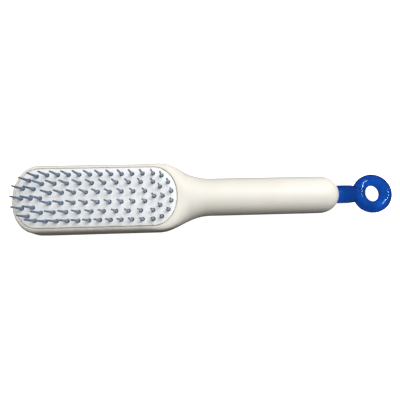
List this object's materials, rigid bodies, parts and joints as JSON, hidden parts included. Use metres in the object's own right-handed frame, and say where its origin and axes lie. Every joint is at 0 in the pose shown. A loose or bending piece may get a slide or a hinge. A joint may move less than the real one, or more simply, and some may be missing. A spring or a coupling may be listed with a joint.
{
  "type": "self-cleaning hair brush",
  "caption": "Paddle-headed hair and coat brush whose pins are drawn down through its perforated face, for cleaning, by turning the ring knob at the end of the round handle.",
  "frame": {"origin": "centre of the overall length, on the flat back of the head that it lies on, in the middle plane", "axes": "+X along the handle towards the ring, +Y across the head, +Z out of the brushing face, the way the pins point"},
  "size_m": [0.2408, 0.0436, 0.0349],
  "materials": {
    "cream_plastic": "cream-white ABS moulding, satin gloss",
    "face_plastic": "cool white moulding, satin gloss",
    "pin_plastic": "slate-blue translucent moulding, gloss",
    "white_nylon": "natural nylon, matt",
    "grey_acetal": "dark grey acetal, satin",
    "steel": "plain ground steel pin",
    "screw_steel": "zinc-plated steel",
    "blue_plastic": "transparent royal-blue moulding, high gloss",
    "black_rubber": "nitrile rubber, matt"
  },
  "bodies": {
    "housing": {"front_shell": "cream_plastic", "rear_shell": "cream_plastic", "face_plate": "face_plastic", "stem_bushing": "white_nylon", "guide_post_1": "steel", "guide_post_2": "steel", "shell_screw_1": "screw_steel", "shell_screw_2": "screw_steel", "shell_screw_3": "screw_steel", "shell_screw_4": "screw_steel"},
    "knob": {"ring_knob": "blue_plastic", "spindle": "grey_acetal", "knob_pin": "steel", "friction_ring": "black_rubber"},
    "slider": {"slider_frame": "white_nylon", "push_rod": "white_nylon", "drive_nut": "grey_acetal", "link_pin": "steel", "nut_link_pin": "steel", "nut_follower_1": "steel", "nut_follower_2": "steel"},
    "bristles": {"bristle_carrier": "pin_plastic"}
  },
  "joints": [
    {"name": "slider_slide", "type": "slide", "parent": "housing", "child": "slider", "axis": [1, 0, 0], "range_m": [0, 0.0112]},
    {"name": "knob_turn", "type": "hinge", "parent": "housing", "child": "knob", "pos_m": [0.08292, 0, 0.012], "axis": [1, 0, 0], "range_deg": [0, 180]},
    {"name": "bristle_lift", "type": "slide", "parent": "housing", "child": "bristles", "axis": [0, 0, 1], "range_m": [-0.01125, 0]}
  ],
  "couplings": [
    {"joint": "knob_turn", "follows": "slider_slide", "rad_per_m": 280.5},
    {"joint": "bristle_lift", "follows": "slider_slide", "ratio": -1}
  ]
}
